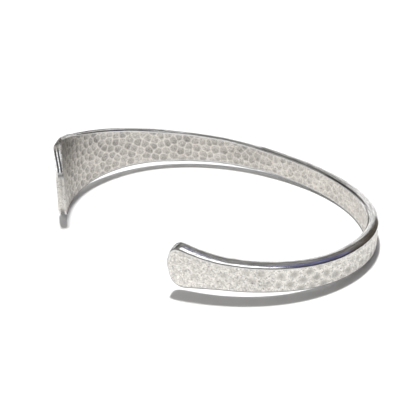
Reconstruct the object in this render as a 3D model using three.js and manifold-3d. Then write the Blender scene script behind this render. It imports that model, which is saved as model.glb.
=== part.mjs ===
// A spoon bangle: an open cuff bracelet forged in one piece, as from the handle of a spoon.
// One bar of silver is spread wide and thin at one end, drawn narrow for most of its length,
// flared a little at the other end, and bent on edge round an oval. Its faces are flat across,
// its rim is crowned and polished all the way round, and it lies on its side as it would rest.
//
// Millimetres, +Z up, +X to the right and +Y away from the front. The origin is on the floor,
// under the middle of the cuff. The whole bangle is one mesh.

import * as THREE from 'three';
import { mergeVertices } from 'three/addons/utils/BufferGeometryUtils.js';
import Module from 'manifold-3d';

// Driving dimensions, in millimetres and degrees

// Plan of the middle of the band: a superellipse, turned, with the mouth left open
const oval = { longRadius: 31, shortRadius: 21.2, squareness: 2.09, turn: -48.5 };
const mouth = { wideEndAngle: 221.1, narrowEndAngle: -56.6 };

// The band along its length, from the wide end at 0 to the flared narrow end at 1. Its middle
// line rises and falls a little, since the forging was never quite true.
const sections = [
	{ along: 0.00, width: 16.4, thickness: 1.40, rise: 2.10 },
	{ along: 0.06, width: 14.3, thickness: 1.65, rise: 0.15 },
	{ along: 0.14, width: 10.5, thickness: 1.80, rise: -0.15 },
	{ along: 0.25, width: 7.1, thickness: 1.85, rise: -0.15 },
	{ along: 0.38, width: 5.2, thickness: 1.85, rise: 0.30 },
	{ along: 0.50, width: 4.4, thickness: 1.85, rise: 0.40 },
	{ along: 0.74, width: 4.6, thickness: 1.85, rise: 0.50 },
	{ along: 0.85, width: 4.5, thickness: 2.00, rise: -0.15 },
	{ along: 0.93, width: 5.0, thickness: 2.15, rise: -0.35 },
	{ along: 1.00, width: 7.8, thickness: 2.30, rise: -0.35 },
];

// Corner radii of each end and how far the middle of its end line stands proud of the corners
const wideEnd = { upperCorner: 2.2, lowerCorner: 3.6, bulge: 0.15 };
const narrowEnd = { upperCorner: 2.4, lowerCorner: 3.3, bulge: 0.3 };
const bulgeReach = 4;

const crownShare = 0.3; // height of the crowned rim, as a share of the thickness
const rest = { leanRight: 5.95, leanBack: 0.76, rubbed: 0.15 }; // how it lies, and the flat worn under it

// Facets
const columns = { corner: 7, body: 90 };
const rows = 6;
const rimSteps = 6;
const curveSteps = 1200;

const silver = new THREE.MeshStandardMaterial( { color: 0xd2cdc6, roughness: 0.32, metalness: 1 } );

// Plan curve of the middle of the band

class OpenOval extends THREE.Curve {

	constructor() {

		super();
		this.arcLengthDivisions = curveSteps;

	}

	getPoint( t, target = new THREE.Vector3() ) {

		const { longRadius, shortRadius, squareness, turn } = oval;
		const angle = THREE.MathUtils.degToRad( THREE.MathUtils.lerp( mouth.wideEndAngle, mouth.narrowEndAngle, t ) );
		const alongLong = Math.abs( Math.cos( angle ) / longRadius ) ** squareness;
		const alongShort = Math.abs( Math.sin( angle ) / shortRadius ) ** squareness;
		const radius = ( alongLong + alongShort ) ** ( - 1 / squareness );
		const heading = angle + THREE.MathUtils.degToRad( turn );
		// The radius belongs to the angle before the turn, so the oval turns as a whole
		return target.set( radius * Math.cos( heading ), radius * Math.sin( heading ), 0 );

	}

}

// Smooth curve through one column of the sections, with no overshoot between its rows

function columnOfSections( column ) {

	const at = sections.map( ( row ) => row.along );
	const value = sections.map( ( row ) => row[ column ] );
	const last = at.length - 1;
	const gap = at.slice( 1 ).map( ( a, i ) => a - at[ i ] );
	const rise = gap.map( ( g, i ) => ( value[ i + 1 ] - value[ i ] ) / g );
	const slope = at.map( ( a, i ) => {

		if ( i === 0 ) return rise[ 0 ];
		if ( i === last ) return rise[ last - 1 ];
		if ( rise[ i - 1 ] * rise[ i ] <= 0 ) return 0;
		const before = 2 * gap[ i ] + gap[ i - 1 ];
		const after = gap[ i ] + 2 * gap[ i - 1 ];
		return ( before + after ) / ( before / rise[ i - 1 ] + after / rise[ i ] );

	} );

	return ( along ) => {

		const u = THREE.MathUtils.clamp( along, 0, 1 );
		const i = Math.min( at.findLastIndex( ( a ) => a <= u ), last - 1 );
		const t = ( u - at[ i ] ) / gap[ i ];
		const fromValues = value[ i ] + ( value[ i + 1 ] - value[ i ] ) * t * t * ( 3 - 2 * t );
		const fromSlopes = gap[ i ] * t * ( 1 - t ) * ( slope[ i ] * ( 1 - t ) - slope[ i + 1 ] * t );
		return fromValues + fromSlopes;

	};

}

const curve = new OpenOval();
const length = curve.getLength();
const widthAt = columnOfSections( 'width' );
const thicknessAt = columnOfSections( 'thickness' );
const riseAt = columnOfSections( 'rise' );
const crownAt = ( s ) => crownShare * thicknessAt( s / length );

// The flat band before it is bent: s runs along it, z across it and r through its thickness

// Where the columns of the face patch stand: closer together round the corners
function faceColumns() {

	const start = crownAt( 0 );
	const end = length - crownAt( length );
	const startRadius = Math.max( wideEnd.upperCorner, wideEnd.lowerCorner ) - start;
	const endRadius = Math.max( narrowEnd.upperCorner, narrowEnd.lowerCorner ) - crownAt( length );
	const turned = Array.from( { length: columns.corner }, ( _, i ) => 1 - Math.cos( i / columns.corner * Math.PI / 2 ) );
	const body = Array.from( { length: columns.body + 1 }, ( _, i ) => i / columns.body );
	return [
		...turned.map( ( part ) => start + startRadius * part ),
		...body.map( ( part ) => THREE.MathUtils.lerp( start + startRadius, end - endRadius, part ) ),
		...turned.map( ( part ) => end - endRadius * part ).reverse(),
	];

}

// What a round corner takes off the height of the patch, at a distance in from its end
function cornerCut( distance, radius ) {

	const left = Math.max( radius - distance, 0 );
	return radius - Math.sqrt( radius * radius - left * left );

}

// A point of the face patch, with across from -1 at its lower edge to 1 at its upper one.
// The ends bow outwards, so their corners stand back.
function facePoint( s, across ) {

	const startCrown = crownAt( 0 );
	const endCrown = crownAt( length );
	const half = widthAt( s / length ) / 2 - crownAt( s );
	const cuts = [ 'lowerCorner', 'upperCorner' ].map( ( corner ) =>
		cornerCut( s - startCrown, wideEnd[ corner ] - startCrown )
		+ cornerCut( length - endCrown - s, narrowEnd[ corner ] - endCrown ) );
	const lower = riseAt( s / length ) - half + cuts[ 0 ];
	const upper = riseAt( s / length ) + half - cuts[ 1 ];
	const bowAtStart = wideEnd.bulge * Math.max( 0, 1 - s / bulgeReach );
	const bowAtEnd = narrowEnd.bulge * Math.max( 0, 1 - ( length - s ) / bulgeReach );
	const bow = ( bowAtStart - bowAtEnd ) * across * across;
	return new THREE.Vector2( s + bow, THREE.MathUtils.lerp( lower, upper, ( across + 1 ) / 2 ) );

}

// A point of the flat band, bent round the oval
function bend( s, z, r ) {

	const along = THREE.MathUtils.clamp( s / length, 0, 1 );
	const point = curve.getPointAt( along );
	const tangent = curve.getTangentAt( along );
	return new THREE.Vector3( point.x - tangent.y * r, point.y + tangent.x * r, z );

}

// The band: an outer and an inner face patch, joined by the crowned rim round all four sides

function bandGeometry() {

	const list = faceColumns();
	const points = [];
	const triangles = [];
	const addPoint = ( s, z, r ) => points.push( bend( s, z, r ) ) - 1;
	const addQuad = ( a, b, c, d ) => triangles.push( a, b, c, a, c, d );

	const grids = [ 1, - 1 ].map( ( side ) => list.map( ( column ) => Array.from( { length: rows + 1 }, ( _, j ) => {

		const p = facePoint( column, 2 * j / rows - 1 );
		return addPoint( p.x, p.y, side * thicknessAt( p.x / length ) / 2 );

	} ) ) );

	for ( let i = 0; i < list.length - 1; i ++ ) {

		for ( let j = 0; j < rows; j ++ ) {

			const corners = [ [ i, j ], [ i, j + 1 ], [ i + 1, j + 1 ], [ i + 1, j ] ];
			const [ outer, inner ] = grids.map( ( grid ) => corners.map( ( [ a, b ] ) => grid[ a ][ b ] ) );
			addQuad( ...outer );
			addQuad( ...inner.reverse() );

		}

	}

	// The loop round the patch: along the lower edge, up the narrow end, back, and down the wide end
	const end = list.length - 1;
	const loop = [];
	for ( let i = 0; i < end; i ++ ) loop.push( [ i, 0 ] );
	for ( let j = 0; j < rows; j ++ ) loop.push( [ end, j ] );
	for ( let i = end; i > 0; i -- ) loop.push( [ i, rows ] );
	for ( let j = rows; j > 0; j -- ) loop.push( [ 0, j ] );
	const outline = loop.map( ( [ i, j ] ) => facePoint( list[ i ], 2 * j / rows - 1 ) );

	const rings = outline.map( ( p, n ) => {

		const before = outline.at( n - 1 );
		const after = outline[ ( n + 1 ) % outline.length ];
		const outward = new THREE.Vector2( after.y - before.y, before.x - after.x ).normalize();
		const half = thicknessAt( p.x / length ) / 2;
		const crown = crownAt( p.x );
		const radius = ( half * half + crown * crown ) / ( 2 * crown );
		const reach = Math.asin( half / radius );
		const [ i, j ] = loop[ n ];
		const ring = [ grids[ 0 ][ i ][ j ] ];

		for ( let k = 1; k < rimSteps; k ++ ) {

			const angle = reach * ( 1 - 2 * k / rimSteps );
			const out = radius * ( Math.cos( angle ) - Math.cos( reach ) );
			ring.push( addPoint( p.x + outward.x * out, p.y + outward.y * out, radius * Math.sin( angle ) ) );

		}

		ring.push( grids[ 1 ][ i ][ j ] );
		return ring;

	} );

	rings.forEach( ( ring, n ) => {

		const next = rings[ ( n + 1 ) % rings.length ];
		for ( let k = 0; k < rimSteps; k ++ ) addQuad( ring[ k ], next[ k ], next[ k + 1 ], ring[ k + 1 ] );

	} );

	const geometry = new THREE.BufferGeometry().setFromPoints( points );
	geometry.setIndex( triangles );
	return geometry;

}

// Joining and cutting

const wasm = await Module();
wasm.setup();

function toSolid( geometry ) {

	const bare = geometry.clone();
	bare.deleteAttribute( 'normal' );
	bare.deleteAttribute( 'uv' );
	const merged = mergeVertices( bare, 1e-4 );
	const vertProperties = merged.attributes.position.array;
	const triVerts = new Uint32Array( merged.index.array );
	return new wasm.Manifold( new wasm.Mesh( { numProp: 3, vertProperties, triVerts } ) );

}

function toGeometry( solid ) {

	const mesh = solid.getMesh();
	const geometry = new THREE.BufferGeometry();
	geometry.setAttribute( 'position', new THREE.BufferAttribute( mesh.vertProperties, 3 ) );
	geometry.setIndex( new THREE.BufferAttribute( mesh.triVerts, 1 ) );
	geometry.computeVertexNormals();
	return geometry;

}

// Lay the band down on its side and rub a small flat under each place that it stands on

function layDown( geometry ) {

	geometry.rotateY( THREE.MathUtils.degToRad( rest.leanRight ) );
	geometry.rotateX( THREE.MathUtils.degToRad( - rest.leanBack ) );
	geometry.computeBoundingBox();
	const { min, max } = geometry.boundingBox;
	geometry.translate( - ( min.x + max.x ) / 2, - ( min.y + max.y ) / 2, - min.z - rest.rubbed );

	const floorThickness = 4;
	const reach = 2 * ( max.x - min.x );
	const floor = new THREE.BoxGeometry( reach, reach, floorThickness ).translate( 0, 0, - floorThickness / 2 );
	return toGeometry( toSolid( geometry ).subtract( toSolid( floor ) ) );

}

const cuff = new THREE.Mesh( layDown( bandGeometry() ), silver );
cuff.name = 'cuff_band';

const bangle = new THREE.Group();
bangle.add( cuff );

export default bangle;
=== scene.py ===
import math

import bpy
import numpy as np
from mathutils import Matrix, Vector, geometry, kdtree


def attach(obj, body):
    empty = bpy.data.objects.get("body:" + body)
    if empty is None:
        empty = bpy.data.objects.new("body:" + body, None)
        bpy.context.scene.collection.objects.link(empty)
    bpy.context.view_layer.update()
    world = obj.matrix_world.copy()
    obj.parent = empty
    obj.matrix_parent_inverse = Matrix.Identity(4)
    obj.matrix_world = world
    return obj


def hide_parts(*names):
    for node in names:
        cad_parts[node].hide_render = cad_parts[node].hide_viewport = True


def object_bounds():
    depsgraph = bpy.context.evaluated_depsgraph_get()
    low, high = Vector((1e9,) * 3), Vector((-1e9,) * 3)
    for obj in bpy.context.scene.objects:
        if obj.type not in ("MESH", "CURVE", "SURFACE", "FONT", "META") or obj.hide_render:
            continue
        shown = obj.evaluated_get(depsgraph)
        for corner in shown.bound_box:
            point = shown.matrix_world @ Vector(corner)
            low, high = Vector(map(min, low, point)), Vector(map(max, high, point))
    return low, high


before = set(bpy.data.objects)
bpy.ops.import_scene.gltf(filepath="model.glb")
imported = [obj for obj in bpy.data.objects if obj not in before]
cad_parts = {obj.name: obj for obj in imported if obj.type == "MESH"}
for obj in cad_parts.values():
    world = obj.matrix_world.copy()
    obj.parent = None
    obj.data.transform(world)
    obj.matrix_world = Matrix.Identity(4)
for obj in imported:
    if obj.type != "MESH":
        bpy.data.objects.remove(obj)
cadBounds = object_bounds()
print("frame loaded:", ", ".join(sorted(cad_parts)))

millimetre = 0.001


class Wire:
    # one output of a shader node, so that values can be added and multiplied in Python
    def __init__(self, bench, socket):
        self.bench = bench
        self.socket = socket

    def maths(self, operation, first, second):
        return self.bench.node("Math", {"operation": operation}, {0: first, 1: second})

    def __add__(self, other):
        return self.maths("ADD", self, other)

    def __radd__(self, other):
        return self.maths("ADD", other, self)

    def __sub__(self, other):
        return self.maths("SUBTRACT", self, other)

    def __rsub__(self, other):
        return self.maths("SUBTRACT", other, self)

    def __mul__(self, other):
        return self.maths("MULTIPLY", self, other)

    def __rmul__(self, other):
        return self.maths("MULTIPLY", other, self)


class Bench:
    # a node tree and the few ways that this script adds to it
    def __init__(self, tree):
        self.tree = tree
        tree.nodes.clear()

    def node(self, kind, settings, inputs, output=0):
        made = self.tree.nodes.new("ShaderNode" + kind)
        for name, value in settings.items():
            if name == "stops":
                self.fillRamp(made.color_ramp, value)
            else:
                setattr(made, name, value)
        for name, value in inputs.items():
            if isinstance(value, Wire):
                self.tree.links.new(value.socket, made.inputs[name])
            else:
                made.inputs[name].default_value = value
        return Wire(self, made.outputs[output]) if made.outputs else None

    def fillRamp(self, ramp, stops):
        while len(ramp.elements) < len(stops):
            ramp.elements.new(0.5)
        for element, (place, colour) in zip(ramp.elements, stops):
            element.position = place
            element.color = (*colour, 1.0)

    def blend(self, factor, first, second, mode="MIX"):
        first, second = [c if isinstance(c, Wire) else (*c, 1.0) for c in (first, second)]
        settings = {"data_type": "RGBA", "blend_type": mode}
        return self.node("Mix", settings, {0: factor, 6: first, 7: second}, output=2)

    def smooth(self, value, low, high):
        settings = {"interpolation_type": "SMOOTHSTEP"}
        return self.node("MapRange", settings, {"Value": value, "From Min": low, "From Max": high})

    def attribute(self, name, output="Fac"):
        return self.node("Attribute", {"attribute_name": name}, {}, output=output)

    def noise(self, place, scale, detail=2.0, roughness=0.5):
        inputs = {"Vector": place, "Scale": scale, "Detail": detail, "Roughness": roughness}
        return self.node("TexNoise", {}, inputs)

    def stretch(self, place, amounts):
        return self.node("VectorMath", {"operation": "MULTIPLY"}, {0: place, 1: amounts})

    def grey(self, value):
        return self.node("CombineColor", {}, {0: value, 1: value, 2: value})


# the bangle: one bar of silver, in millimetres and degrees
band = {
    "longRadius": 31.0, "shortRadius": 21.2, "squareness": 2.09, "turn": -48.5,
    "wideEndAngle": 221.1, "narrowEndAngle": -56.6,
    # share of the length, width, thickness, how far the middle line rises
    "sections": [
        (0.00, 16.4, 1.40, 2.10), (0.06, 14.3, 1.65, 0.15), (0.14, 10.5, 1.80, -0.15),
        (0.25, 7.1, 1.85, -0.15), (0.38, 5.2, 1.85, 0.30), (0.50, 4.4, 1.85, 0.40),
        (0.74, 4.6, 1.85, 0.50), (0.85, 4.5, 2.00, -0.15), (0.93, 5.0, 2.15, -0.35),
        (1.00, 7.8, 2.30, -0.35),
    ],
    "wideLowerCorner": 3.6, "wideUpperCorner": 2.2, "wideBulge": 0.15,
    "narrowLowerCorner": 3.3, "narrowUpperCorner": 2.4, "narrowBulge": 0.3,
    "bulgeReach": 4.0,
    # how much of the wide end's upper corner is filed off, by distance from the end
    "cornerFiled": [
        (0.3, 0.1), (0.8, 0.6), (1.5, 0.95), (3.0, 1.0), (4.8, 1.0), (5.9, 0.7), (8.3, 0.25),
        (12.0, 0.0),
    ],
    "cornerReach": 3.5,      # how far down the face the filing of that corner is felt
    "crownShare": 0.3,       # height of the crowned rim, as a share of the thickness
    "leanRight": 5.95, "leanBack": 0.76,     # how it is tilted as it rests
    "rubbed": 0.15,          # how deep the flats under it are worn
    "skin": 0.02,            # metal taken off all over by polishing
    "step": 0.157,           # distance between points of the mesh
    "rimSteps": 16,          # strips of the mesh from one face over the rim to the other
    "sharpAngle": 50,        # edges sharper than this keep their crease
    # the rim was filed by hand, so it varies: share of the length, degrees that its top leans
    # outwards, height as a share of the crown, inner shoulder (2 is round, more is squarer)
    "filing": [
        (0.00, 0, 0.90, 2.8), (0.08, 2, 0.95, 3.0), (0.17, -3, 1.00, 4.0), (0.265, -6, 1.00, 4.0),
        (0.275, 8, 1.00, 5.5), (0.33, 10, 1.00, 5.5), (0.415, 11, 1.00, 5.5), (0.43, -8, 1.00, 4.0),
        (0.60, -11, 1.00, 3.6), (0.64, -5, 0.92, 3.0), (0.67, 1, 0.86, 2.6), (0.75, 6, 0.82, 2.6),
        (0.85, 11, 0.82, 2.6), (1.00, 12, 0.82, 2.6),
    ],
    "outerShoulder": 2.4,    # the same squareness on the rim's outer side
    # slow swell left by forging: length of its waves, their height, how far the metal sinks for it
    "faceSwell": {"length": 9, "height": 0.006, "sunk": 0.012},
    "rimSwell": {"seed": 5, "length": 5, "height": 0.004, "sunk": 0.006},
    "plainTip": 1.2,         # no marks so near the narrow end
    "edgeBand": 0.5,         # the marks grow fainter so near the edge of a face
    "quietReach": (22, 4),   # distances from the narrow end between which wear sets in
    # hammer marks: how far apart and how long the blows are, how round the hammer's face was,
    # how deep it went and how unevenly, how worn and rounded the ridges between the marks are,
    # how much fainter the marks are near an edge and near the narrow end
    "inside": {
        "seed": 11, "evenings": 2, "pitch": 1.2, "stretchAlong": 1.08, "ball": 3.4, "depth": 0.075,
        "uneven": 0.014, "wear": 0.004, "round": 0.10, "edgeFade": 0.45, "quietEnd": 0.0,
    },
    "outside": {
        "seed": 29, "evenings": 2, "pitch": 1.18, "stretchAlong": 1.12, "ball": 4.2, "depth": 0.066,
        "uneven": 0.016, "wear": 0.006, "round": 0.14, "edgeFade": 0.45, "quietEnd": 0.65,
    },
    # colours of the ridges, of the marks between them, of the dark lines (painted shade and painted
    # reflection among them) and of the polished rim
    "silver": {
        "ridgeInside": (0.69, 0.66, 0.615), "ridgeOutside": (0.68, 0.66, 0.625),
        "hollowInside": (0.345, 0.33, 0.308), "hollowOutside": (0.33, 0.316, 0.295),
        "hollowUpper": (0.30, 0.297, 0.303),
        "line": (0.045, 0.045, 0.05),
        "polished": (0.80, 0.80, 0.80),
        "rimRoughness": 0.10, "faceRoughness": 0.40,
    },
}


def ramp(value, start, end):
    # 0 at the start, 1 at the end, straight between them
    return np.clip((value - start) / (end - start), 0, 1)


def bell(value, middle, width):
    return np.exp(-((value - middle) / width) ** 2)


def sectionCurve(column):
    # smooth curve through one column of the sections, with no overshoot
    at = np.array([row[0] for row in band["sections"]])
    value = np.array([row[column] for row in band["sections"]])
    gap = np.diff(at)
    rise = np.diff(value) / gap
    slope = np.zeros(len(at))
    slope[0], slope[-1] = rise[0], rise[-1]
    for i in range(1, len(at) - 1):
        if rise[i - 1] * rise[i] > 0:
            before = 2 * gap[i] + gap[i - 1]
            after = gap[i] + 2 * gap[i - 1]
            slope[i] = (before + after) / (before / rise[i - 1] + after / rise[i])

    def curve(share):
        u = np.clip(share, 0, 1)
        i = np.clip(np.searchsorted(at, u, side="right") - 1, 0, len(at) - 2)
        t = (u - at[i]) / gap[i]
        fromValues = value[i] + (value[i + 1] - value[i]) * t * t * (3 - 2 * t)
        return fromValues + gap[i] * t * (1 - t) * (slope[i] * (1 - t) - slope[i + 1] * t)

    return curve


def planCurve():
    # middle line of the band from above: an oval, squared a little, with its mouth open
    angle = np.radians(np.linspace(band["wideEndAngle"], band["narrowEndAngle"], 4001))
    alongLong = np.abs(np.cos(angle) / band["longRadius"]) ** band["squareness"]
    alongShort = np.abs(np.sin(angle) / band["shortRadius"]) ** band["squareness"]
    radius = (alongLong + alongShort) ** (-1 / band["squareness"])
    heading = angle + math.radians(band["turn"])
    line = np.stack([radius * np.cos(heading), radius * np.sin(heading)], 1)
    steps = np.linalg.norm(np.diff(line, axis=0), axis=1)
    run = np.concatenate([[0], np.cumsum(steps)])
    tangent = np.gradient(line, run, axis=0)
    tangent /= np.linalg.norm(tangent, axis=1)[:, None]
    return line, tangent, run


widthAt, thicknessAt, riseAt = [sectionCurve(column) for column in (1, 2, 3)]
planLine, planTangent, planRun = planCurve()
bandLength = planRun[-1]
patternShift = 40.0     # keeps the patterns of the outer face, the inner one and the rim apart


def crownAt(s):
    return band["crownShare"] * thicknessAt(s / bandLength)


def bend(s, z, r):
    # a point of the flat band, bent round the oval: s along, z across, r outwards
    s = np.clip(s, 0, bandLength)
    x, y = [np.interp(s, planRun, planLine[:, k]) for k in (0, 1)]
    tx, ty = [np.interp(s, planRun, planTangent[:, k]) for k in (0, 1)]
    return np.stack([x - ty * r, y + tx * r, z], -1)


def layDown(points):
    # tilts the bangle to the way it rests on its side
    right, back = math.radians(band["leanRight"]), -math.radians(band["leanBack"])
    x, y, z = points[:, 0], points[:, 1], points[:, 2]
    x, z = x * math.cos(right) + z * math.sin(right), z * math.cos(right) - x * math.sin(right)
    y, z = y * math.cos(back) - z * math.sin(back), y * math.sin(back) + z * math.cos(back)
    return np.stack([x, y, z], 1)


def resample(line, step):
    # the closed line again, with points an even step apart
    closed = np.vstack([line, line[:1]])
    run = np.concatenate([[0], np.cumsum(np.linalg.norm(np.diff(closed, axis=0), axis=1))])
    at = np.linspace(0, run[-1], round(run[-1] / step), endpoint=False)
    return np.stack([np.interp(at, run, closed[:, k]) for k in (0, 1)], 1)


def cornerCut(distance, radius):
    # what a round corner takes off the height of the face, at a distance in from its end
    left = np.clip(radius - distance, 0, radius)
    return radius - np.sqrt(radius ** 2 - left ** 2)


def faceEdges(s):
    # lower and upper edge of the flat face, where the crowned rim begins
    start, end = crownAt(0), crownAt(bandLength)
    middle = riseAt(s / bandLength)
    half = widthAt(s / bandLength) / 2 - crownAt(s)
    lower, upper = [
        cornerCut(s - start, band["wide" + corner] - start)
        + cornerCut(bandLength - end - s, band["narrow" + corner] - end)
        for corner in ("LowerCorner", "UpperCorner")
    ]
    return middle - half + lower, middle + half - upper


def bowEnds(s, z):
    # both ends bow outwards, so their corners stand back
    lower, upper = faceEdges(s)
    across = (2 * z - lower - upper) / (upper - lower)
    atStart = band["wideBulge"] * ramp(s, band["bulgeReach"], 0)
    atEnd = band["narrowBulge"] * ramp(s, bandLength - band["bulgeReach"], bandLength)
    return np.stack([s + (atStart - atEnd) * across ** 2, z], 1)


def faceOutline():
    # edge of the flat face, anticlockwise from the wide end, in even steps
    start, end = crownAt(0), bandLength - crownAt(bandLength)
    s = start + (end - start) * (1 - np.cos(np.linspace(0, math.pi, 6001))) / 2
    lower, upper = faceEdges(s)
    rising = np.linspace(lower[-1], upper[-1], 41)[1:-1]
    falling = np.linspace(upper[0], lower[0], 41)[1:-1]
    line = np.vstack([
        bowEnds(s, lower), bowEnds(np.full(len(rising), end), rising),
        bowEnds(s[::-1], upper[::-1]), bowEnds(np.full(len(falling), start), falling),
    ])
    return resample(line, band["step"])


def fillFace(outline):
    # even triangles over the face, meeting its outline point for point
    step = band["step"]
    start, end = crownAt(0), bandLength - crownAt(bandLength)
    levels = np.arange(-12, 12, step * 0.866)     # rows of even triangles
    s, z = np.meshgrid(np.arange(start, end, step), levels)
    s[1::2] += step / 2
    s, z = s.ravel(), z.ravel()
    lower, upper = faceEdges(s)
    inside = (s < end) & (z > lower) & (z < upper)
    points = bowEnds(s[inside], z[inside])
    edge = kdtree.KDTree(len(outline))
    for index, (x, y) in enumerate(outline):
        edge.insert((x, y, 0), index)
    edge.balance()
    clear = [edge.find((x, y, 0))[2] > 0.55 * step for x, y in points]
    points = np.vstack([outline, points[clear]])
    count = len(outline)
    edges = [(i, (i + 1) % count) for i in range(count)]
    made = geometry.delaunay_2d_cdt([Vector(p) for p in points], edges, [], 1, 1e-7)
    return np.array([tuple(p) for p in made[0]]), np.array(made[2])


def spreadEvenly(places, ground, blows):
    # each mark moves to the middle of the ground that is nearest to it
    squash = np.array((blows["stretchAlong"], 1))
    ground = ground[:24000]      # enough to find the middles
    for _ in range(blows["evenings"]):
        nearest = np.concatenate([
            (((part[:, None] - places[None]) / squash) ** 2).sum(2).argmin(1)
            for part in np.array_split(ground, 8)
        ])
        counts = np.bincount(nearest, minlength=len(places))
        middles = np.stack([
            np.bincount(nearest, ground[:, k], len(places)) / np.maximum(counts, 1)
            for k in (0, 1)
        ], 1)
        places = np.where(counts[:, None] > 3, middles, places)
    return places


def scatterBlows(blows):
    # where the hammer fell: random places that keep their distance
    rng = np.random.default_rng(blows["seed"])
    reach, beyondEnds, beyondEdges, howMany = 11.5, 2, 1.6, 60000
    tries = rng.uniform((-beyondEnds, -reach), (bandLength + beyondEnds, reach), (howMany, 2))
    away = np.abs(tries[:, 1] - riseAt(tries[:, 0] / bandLength))
    tries = tries[away < widthAt(tries[:, 0] / bandLength) / 2 + beyondEdges]
    scaled = tries / (blows["stretchAlong"], 1)
    kept = np.empty((0, 2))
    chosen = []
    for index, place in enumerate(scaled):
        if not len(kept) or ((kept - place) ** 2).sum(1).min() > blows["pitch"] ** 2:
            kept = np.vstack([kept, place])
            chosen.append(index)
    places = spreadEvenly(tries[chosen], tries, blows)
    depths = blows["depth"] + rng.normal(0, blows["uneven"], len(places))
    tones = rng.uniform(0, 1, len(places))
    return places, depths, tones


def hammer(points, blows):
    # depth of the face under its marks, distance in from the ridges round each mark, its tone
    places, depths, tones = scatterBlows(blows)
    squash = np.array((blows["stretchAlong"], 1))
    low, hollow, tone = np.zeros((3, len(points)))
    batch, neighbours = 4000, 7
    for start in range(0, len(points), batch):
        part = slice(start, start + batch)
        gap = (points[part, None] - places[None]) / squash
        value = (gap ** 2).sum(2) / (2 * blows["ball"]) - depths
        near = np.argpartition(value, neighbours, 1)[:, :neighbours]
        value = np.take_along_axis(value, near, 1)
        order = value.argsort(1)
        near, value = np.take_along_axis(near, order, 1), np.take_along_axis(value, order, 1)
        rise = value - value[:, :1]
        low[part] = value[:, 0] - blows["wear"] * np.log(np.exp(-rise / blows["wear"]).sum(1))
        apart = np.linalg.norm((places[near[:, 1:]] - places[near[:, :1]]) / squash, axis=2)
        inward = rise[:, 1:] * blows["ball"] / apart
        hollow[part] = -blows["round"] * np.log(np.exp(-inward / blows["round"]).sum(1))
        tone[part] = tones[near[:, 0]]
    low = np.minimum(low, 0)
    farther, nearer = band["quietReach"]
    low *= 1 - blows["quietEnd"] * ramp(points[:, 0], bandLength - farther, bandLength - nearer)
    return low, np.maximum(hollow, 0), tone


def waves(points, seed, length, strength):
    # slow uneven swell left by forging, from a few crossing sine waves
    rng = np.random.default_rng(seed)
    total = np.zeros(len(points))
    for _ in range(9):
        heading = rng.uniform(0, math.pi)
        pace = 2 * math.pi / (length * rng.uniform(0.7, 1.5))
        phase = rng.uniform(0, 2 * math.pi)
        total += np.sin(points @ np.array([math.cos(heading), math.sin(heading)]) * pace + phase)
    return strength * total / 3


def filingAt(outline):
    # slope of the rim's top, its height and the squareness of its inner shoulder
    at, *columns = zip(*band["filing"])
    lean, height, shoulder = [np.interp(outline[:, 0] / bandLength, at, c) for c in columns]
    return np.tan(np.radians(lean)), height * crownAt(outline[:, 0]), shoulder


def filedCorner(places, share):
    # the wide end's upper corner is filed round, most of all on its outer side
    s, z = places[:, 0], places[:, 1]
    at, amount = zip(*band["cornerFiled"])
    upper = faceEdges(s)[1]
    near = np.interp(s, at, amount) * ramp(z, upper - band["cornerReach"], upper)
    return np.stack([s, z - near * (1.0 + 0.95 * share + 0.05 * share ** 2)], 1)


def flatPlace(places, sheet, through):
    # where a point lies in the pattern: the outer face, the inner one and the rim are kept apart
    return np.stack([places[:, 0], places[:, 1] + patternShift * sheet, through], 1)


def hammeredFace(face, half, side, blows):
    # points of the outer face, side 1, or of the inner one, side -1, and how they are finished
    s, z = face[:, 0], face[:, 1]
    low, hollow, tone = hammer(face, blows)
    marked = ramp(s, bandLength - band["plainTip"], bandLength - 1.5 * band["plainTip"])
    lower, upper = faceEdges(s)
    calm = ramp(np.minimum(upper - z, z - lower), 0, band["edgeBand"])
    swell = band["faceSwell"]
    low = low * marked * (1 - blows["edgeFade"] * (1 - calm))
    low = low + waves(face, blows["seed"], swell["length"], swell["height"]) - swell["sunk"]
    place = filedCorner(face, side)
    points = bend(place[:, 0], place[:, 1], side * (half + np.minimum(low, 0) - band["skin"]))
    finish = {
        "hollow": hollow * marked, "tone": tone, "outside": np.full(len(face), max(side, 0)),
        "face": np.ones(len(face)), "line": np.zeros(len(face)),
    }
    return points, finish


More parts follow.
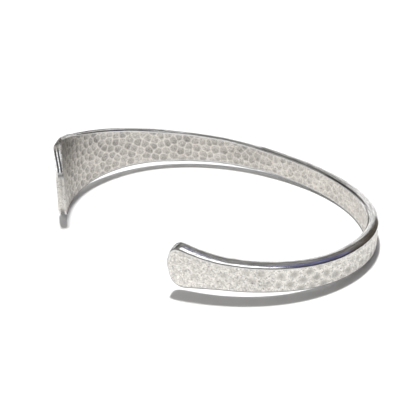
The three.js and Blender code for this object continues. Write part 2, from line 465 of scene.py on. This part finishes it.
def rimFinish(outline, outward, share):
    # how one ring of the rim is finished; share is 1 at the outer face and -1 at the inner one
    s, z = outline[:, 0], outline[:, 1]
    top, underside = outward[:, 1] > 0.5, outward[:, 1] < -0.5
    wideEnd = ramp(s, 1.8, 0.8)
    narrowEnd = ramp(s, bandLength - 1.8, bandLength - 0.8)
    rough = wideEnd * ramp(z, 3.8, 1.8)                 # lower half of the wide end, left as cut
    facet = ramp(s, 5.0, 3.0) * ramp(z, 6.9, 7.8)       # its filed upper corner
    # less polish on top, near the wide end, and down that end's inner edge
    satin = 0.75 * ramp(s, 13.0, 8.0) * (outward[:, 1] > 0.3)
    satin = np.maximum(satin, 0.85 * wideEnd * (share < -0.55))

    # dark lines: those along the rim's underside and its top shoulders are painted shade and
    # painted reflection; the others darken the two ends
    knot = 0.8 * wideEnd * bell(z, 2.7, 0.45) * (share < 0.6)
    wideEndLines = 0.5 * rough * bell(share, -0.2, 0.28) * ramp(z, -3, 1)
    margin = 0.8 * narrowEnd * bell(share, 0.8, 0.25)
    # painted shade along the rim's underside, on its outer side towards the narrow end and on its
    # inner side from near the wide end on
    under = 0.8 * ramp(s, 95, 96) * (share > 0.3) + 0.45 * ramp(s, 12, 18) * (share < -0.5)
    under *= underside
    # painted reflection: a dark line along the top of the rim's outer shoulder at the front
    paintedShoulderReflection = np.interp(s, (98, 99, 112, 119), (0, 0.45, 0.5, 0.25)) * bell(share, 0.93, 0.13) * top
    # painted shade on the top rim's inner shoulder, from near the wide end to past the middle
    inner = 0.28 * ramp(s, 8, 12) * ramp(s, 85, 80) * (share < -0.4)
    inner += 0.5 * ramp(s, 73, 76) * ramp(s, 88, 85) * (share < -0.8)
    inner *= top
    return {
        "hollow": 0.22 * rough + 0.3 * facet * ramp(share, -0.4, 0.0),
        "tone": 0.9 * rough + facet,
        "outside": np.maximum(0.5 + share / 2, rough),
        "face": np.max([rough, facet, satin], 0),
        "line": np.max([knot, wideEndLines, margin, under, paintedShoulderReflection, inner], 0),
    }


def crownedRim(outline, half):
    # rings of the rim from the outer face over to the inner one, where each lies in the pattern,
    # and how it is finished
    along = np.roll(outline, -1, 0) - np.roll(outline, 1, 0)
    outward = np.stack([along[:, 1], -along[:, 0]], 1)
    outward /= np.linalg.norm(outward, axis=1)[:, None]
    slope, crown, shoulder = filingAt(outline)
    swell = band["rimSwell"]
    rings = []
    for k in range(1, band["rimSteps"]):
        turn = math.pi / 2 * (1 - 2 * k / band["rimSteps"])
        power = 2 / (band["outerShoulder"] if turn > 0 else shoulder)
        share = np.full(len(outline), abs(math.sin(turn))) ** power * math.copysign(1, turn)
        thick = (half - band["skin"]) * share
        out = crown * math.cos(turn) ** power - slope * thick * (1 - share ** 2)
        winding = np.stack([outline.sum(1), thick], 1)
        rise = waves(winding, swell["seed"], swell["length"], swell["height"])
        place = filedCorner(outline + outward * (out - swell["sunk"] - rise)[:, None], share)
        points = bend(place[:, 0], place[:, 1], thick)
        rings.append((points, flatPlace(outline, 2, thick), rimFinish(outline, outward, share)))
    return rings


def buildBand():
    outline = faceOutline()
    face, triangles = fillFace(outline)
    count, rim = len(face), len(outline)
    half = thicknessAt(face[:, 0] / bandLength) / 2

    pieces = []
    for sheet, (side, blows) in enumerate(((1, band["outside"]), (-1, band["inside"]))):
        points, finish = hammeredFace(face, half, side, blows)
        pieces.append((points, flatPlace(face, sheet, np.zeros(count)), finish))
    pieces += crownedRim(outline, half[:rim])
    points, flat = [np.vstack([piece[i] for piece in pieces]) for i in (0, 1)]

    ring = [np.arange(rim)]
    ring += [2 * count + k * rim + np.arange(rim) for k in range(band["rimSteps"] - 1)]
    ring += [count + np.arange(rim)]
    quads = [
        np.stack([near, far, np.roll(far, -1), np.roll(near, -1)], 1)
        for near, far in zip(ring, ring[1:])
    ]
    faces = [triangles, triangles[:, ::-1] + count, *quads]
    loops = np.concatenate([corners.ravel() for corners in faces])
    sizes = np.array([3] * (2 * len(triangles)) + [4] * (rim * band["rimSteps"]))

    points = layDown(points)
    low, high = points.min(0), points.max(0)
    points -= ((low[0] + high[0]) / 2, (low[1] + high[1]) / 2, low[2] + band["rubbed"])
    points *= millimetre
    points = np.clip(points, cadBounds[0], cadBounds[1])

    mesh = bpy.data.meshes.new("cuffBand")
    mesh.vertices.add(len(points))
    mesh.vertices.foreach_set("co", points.ravel())
    mesh.loops.add(len(loops))
    mesh.loops.foreach_set("vertex_index", loops.astype(np.int32))
    mesh.polygons.add(len(sizes))
    starts = np.concatenate([[0], np.cumsum(sizes)[:-1]])
    mesh.polygons.foreach_set("loop_start", starts.astype(np.int32))
    mesh.polygons.foreach_set("use_smooth", np.ones(len(sizes), bool))
    mesh.update(calc_edges=True)
    mesh.validate()
    for name in pieces[0][2]:
        values = np.concatenate([piece[2][name] for piece in pieces]).astype(np.float32)
        mesh.attributes.new(name, "FLOAT", "POINT").data.foreach_set("value", values)
    flat = flat.astype(np.float32).ravel()
    mesh.attributes.new("flat", "FLOAT_VECTOR", "POINT").data.foreach_set("vector", flat)
    mesh.set_sharp_from_angle(angle=math.radians(band["sharpAngle"]))
    made = bpy.data.objects.new("hammered_cuff", mesh)
    bpy.context.scene.collection.objects.link(made)
    print("band:", len(points), "points,", sizes.sum() - 2 * len(sizes), "triangles")
    return made


def hammeredSilver():
    # bright where the ridges and the rim are rubbed, softly tarnished in the hammer marks
    silver = band["silver"]
    material = bpy.data.materials.new("hammered silver")
    material.use_nodes = True
    bench = Bench(material.node_tree)
    flat = bench.attribute("flat", "Vector")
    hollow = bench.attribute("hollow")
    tone = bench.attribute("tone")
    outside = bench.attribute("outside")
    onFace = bench.attribute("face")
    line = bench.attribute("line")

    along, across, through = [
        bench.node("SeparateXYZ", {}, {0: flat}, output=axis) for axis in "XYZ"
    ]
    insideUp = across - patternShift           # height on the inner face
    rimUp = across - 2 * patternShift          # height on the rim
    inside = 1.0 - outside
    grain = bench.noise(flat, 3.4, 3.0, 0.65)
    frost = bench.noise(flat, 7.0, 2.0, 0.6)
    scratches = bench.noise(bench.stretch(flat, (0.25, 3.0, 1.0)), 2.2, 3.0, 0.6)
    streaks = bench.noise(bench.stretch(flat, (0.25, 2.2, 2.2)), 1.6, 3.0, 0.65)
    mottle = bench.noise(flat, 1.7, 3.0, 0.7)
    brushed = bench.noise(bench.stretch(flat, (1.6, 0.5, 1.0)), 1.6, 3.0, 0.65)
    cloud = bench.noise(flat, 0.16, 2.0)
    pit = bench.smooth(bench.noise(flat, 1.3, 2.0, 0.55), 0.62, 0.72)

    # the inner face is painted darker towards the wide end's upper corner, and the marks are most
    # worn at the narrow end
    worn = bench.smooth(along, 38.0, 68.0)
    tipWorn = bench.smooth(along, 113.0, 130.0)
    nearEnd = 1.0 - bench.smooth(along, 3.0, 19.0)
    corner = bench.smooth(insideUp, 0.0, 6.0) * (1.0 - bench.smooth(along, 4.0, 19.0)) * inside
    upper = bench.smooth(insideUp, 1.0, 5.0) * inside

    # bright ridges, tarnished marks between them
    bright = bench.blend(outside, silver["ridgeInside"], silver["ridgeOutside"])
    tarnish = bench.blend(outside, silver["hollowInside"], silver["hollowOutside"])
    # the marks on the inner face are greyer and a little bluer towards its top
    tarnish = bench.blend(upper * 0.8, tarnish, silver["hollowUpper"])
    insideMark = bench.smooth(hollow + (grain - 0.5) * 0.5 + (mottle - 0.5) * 0.3, 0.01, 0.20)
    insideMark = insideMark * (0.42 + tone * 0.42 + nearEnd * 0.1) * (1.0 - worn * 0.35)
    outsideMark = bench.smooth(hollow + (mottle - 0.5) * 1.4 + (grain - 0.5) * 0.9, 0.12, 0.55)
    outsideMark = outsideMark * (0.45 + tone * 0.50) * (1.0 - tipWorn * 0.6)
    depth = insideMark + outside * (outsideMark - insideMark)
    shade = 1.0 + (grain - 0.5) * (1.3 + outside * 0.3) + (mottle - 0.5) * (1.1 + outside * 0.4)
    shade = shade + (brushed - 0.5) * nearEnd * inside * 1.2
    shade = shade + (frost - 0.5) * 0.8 + (cloud - 0.5) * 0.35 - pit * 0.2 - corner * 0.5
    faceColour = bench.blend(depth, bright, tarnish)
    faceColour = bench.blend(1.0, faceColour, bench.grey(shade), "MULTIPLY")
    sheen = bench.grey(1.0 + (streaks - 0.5) * 1.8)
    rimColour = bench.blend(1.0, silver["polished"], sheen, "MULTIPLY")
    colour = bench.blend(onFace, rimColour, faceColour)

    # two dark lines, a bright one between them, slant down the wide end's upper half
    offCentre = through + 0.07 - bench.smooth(rimUp, 3.4, 8.0) * 0.30
    offCentre = bench.node("Math", {"operation": "ABSOLUTE"}, {0: offCentre})
    wideEndLines = bench.smooth(offCentre, 0.07, 0.12) * (1.0 - bench.smooth(offCentre, 0.36, 0.46))
    wideEndLines = wideEndLines * bench.smooth(rimUp, 2.9, 3.5) * (1.0 - bench.smooth(rimUp, 7.3, 8.3))
    wideEndLines = wideEndLines * (1.0 - bench.smooth(along, 1.0, 1.8))
    # darkens by the line attribute, which holds painted shade and painted reflection as well as the
    # dark marks at the ends, and by the wide end's lines
    for mask in (line, wideEndLines):
        colour = bench.blend(mask * 0.97, colour, silver["line"])

    faceRoughness = silver["faceRoughness"] + (grain - 0.5) * 0.2 + depth * 0.05
    rimRoughness = silver["rimRoughness"] + (scratches - 0.5) * 0.08
    roughness = rimRoughness + onFace * (faceRoughness - rimRoughness)

    relief = onFace * (grain * 0.7 + frost * 0.6 + scratches * 0.4) + (1.0 - onFace) * streaks * 0.6
    inputs = {"Strength": 0.5, "Distance": 0.05 * millimetre, "Height": relief}
    bump = bench.node("Bump", {}, inputs)
    inputs = {"Base Color": colour, "Metallic": 1.0, "Roughness": roughness, "Normal": bump}
    shader = bench.node("BsdfPrincipled", {}, inputs)
    bench.node("OutputMaterial", {}, {"Surface": shader})
    return material


cuff = buildBand()
cuff.data.materials.append(hammeredSilver())
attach(cuff, "root")
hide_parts("cuff_band")
print("band finished")


# the studio: a sheet of white paper, a lamp, a room and a camera
floorLook = {"radius": 3.0, "colour": (0.92, 0.92, 0.92)}


def buildFloor():
    rim = [(math.cos(a), math.sin(a)) for a in np.linspace(0, 2 * math.pi, 96, endpoint=False)]
    corners = [(floorLook["radius"] * x, floorLook["radius"] * y, 0.0) for x, y in rim]
    mesh = bpy.data.meshes.new("floor")
    mesh.from_pydata(corners, [], [list(range(len(corners)))])
    material = bpy.data.materials.new("white paper")
    material.use_nodes = True
    bench = Bench(material.node_tree)
    shader = bench.node("BsdfDiffuse", {}, {"Color": (*floorLook["colour"], 1.0)})
    bench.node("OutputMaterial", {}, {"Surface": shader})
    mesh.materials.append(material)
    made = bpy.data.objects.new("floor", mesh)
    bpy.context.scene.collection.objects.link(made)
    return made


floor = buildFloor()

# lamp: place in millimetres, radius of its glowing ball, strength
lamp = {"place": (20.0, 99.0, 700.0), "radius": 30.0, "strength": 38.0}


def buildLamp():
    light = bpy.data.lights.new("lamp", "POINT")
    light.shadow_soft_size = lamp["radius"] * millimetre
    light.energy = lamp["strength"]
    light.use_nodes = True
    bench = Bench(light.node_tree)
    falloff = bench.node("LightFalloff", {}, {"Strength": 1.0}, output="Constant")
    glow = bench.node("Emission", {}, {"Strength": falloff})
    bench.node("OutputLight", {}, {"Surface": glow})
    made = bpy.data.objects.new("lamp", light)
    made.location = Vector(lamp["place"]) * millimetre
    made.visible_glossy = False   # the room alone shows in the polished rim
    bpy.context.scene.collection.objects.link(made)


buildLamp()

# room: what stands round the table, by the sine of its height above the horizon
room = {
    "strength": 1.0,
    "stops": [
        (0.00, (0.95, 0.945, 0.935)), (0.40, (0.93, 0.925, 0.91)),
        (0.47, (0.15, 0.145, 0.137)), (0.68, (0.12, 0.116, 0.11)),
        (0.80, (0.30, 0.294, 0.282)), (1.00, (0.42, 0.41, 0.39)),
    ],
    # each: heading in degrees from the back towards the right, height, size, softness, colour
    "patches": [
        (72, 40, 42, 6, (0.110, 0.095, 0.077)),      # dark wood
        (30, 47, 8, 6, (0.19, 0.18, 0.165)),         # where it catches the light
        (42, 60, 12.5, 4, (0.17, 0.175, 0.32)),      # evening window
        (112, 15, 15, 6, (0.115, 0.12, 0.22)),       # another window, low on the right
        (16, 28.5, 4, 5, (0.75, 0.74, 0.73)),        # a pale curtain
        (70, 81, 8, 5, (0.33, 0.33, 0.33)),          # ceiling over it
        (9, 49, 8, 6, (0.27, 0.265, 0.255)),         # far wall
        (-85, 30, 30, 8, (0.50, 0.49, 0.47)),        # pale wall
        (-48, 30, 7, 4, (0.12, 0.117, 0.11)),        # its door
        (-11, 12, 10, 4, (0.40, 0.39, 0.375)),       # a grey wall
        (-6, 4, 6, 3, (0.13, 0.127, 0.12)),          # something on the table
        (-150, 45, 30, 20, (0.36, 0.355, 0.34)),     # wall behind the camera
        (180, 30, 11, 6, (0.07, 0.07, 0.07)),        # something dark in front
        (18, 70, 7, 2, (1.9, 1.9, 1.9)),             # soft box overhead
        (26, 81, 8, 4, (1.9, 1.9, 1.9)),
    ],
}


def buildRoom():
    world = bpy.data.worlds.new("room")
    bpy.context.scene.world = world
    world.use_nodes = True
    bench = Bench(world.node_tree)
    direction = bench.node("TexCoord", {}, {}, output="Generated")
    height = bench.node("SeparateXYZ", {}, {0: direction}, output="Z")
    colour = bench.node("ValToRGB", {"stops": room["stops"]}, {"Fac": height})
    for heading, rise, size, soft, tint in room["patches"]:
        a, e = math.radians(heading), math.radians(rise)
        middle = (math.sin(a) * math.cos(e), math.cos(a) * math.cos(e), math.sin(e))
        settings = {"operation": "DOT_PRODUCT"}
        facing = bench.node("VectorMath", settings, {0: direction, 1: middle}, output="Value")
        outer, inner = [math.cos(math.radians(angle)) for angle in (size + soft, size)]
        colour = bench.blend(bench.smooth(facing, outer, inner), colour, tint)
    back = bench.node("Background", {}, {"Color": colour, "Strength": room["strength"]})
    bench.node("OutputWorld", {}, {"Surface": back})


buildRoom()

# camera: degrees and millimetres, aimed near the middle of the bangle's foot
view = {
    "elevation": 25.31, "azimuth": -0.51, "roll": -5.77,
    "lens": 62.0, "distance": 126.85, "slideRight": 0.26, "slideUp": 1.99,
}


def buildCamera():
    e, a, r = [math.radians(view[name]) for name in ("elevation", "azimuth", "roll")]
    forward = Vector((math.sin(a) * math.cos(e), math.cos(a) * math.cos(e), -math.sin(e)))
    level = Vector((math.cos(a), -math.sin(a), 0.0))
    upright = level.cross(forward)
    right = math.cos(r) * level + math.sin(r) * upright
    up = math.cos(r) * upright - math.sin(r) * level
    place = view["slideRight"] * right + view["slideUp"] * up - view["distance"] * forward
    camera = bpy.data.cameras.new("camera")
    camera.lens = view["lens"]
    camera.clip_start, camera.clip_end = 0.005, 20.0
    made = bpy.data.objects.new("camera", camera)
    turned = Matrix((right, up, -forward)).transposed().to_4x4()
    made.matrix_world = Matrix.Translation(place * millimetre) @ turned
    bpy.context.scene.collection.objects.link(made)
    bpy.context.scene.camera = made


buildCamera()
bpy.context.scene.view_settings.view_transform = "Standard"
print("studio ready")
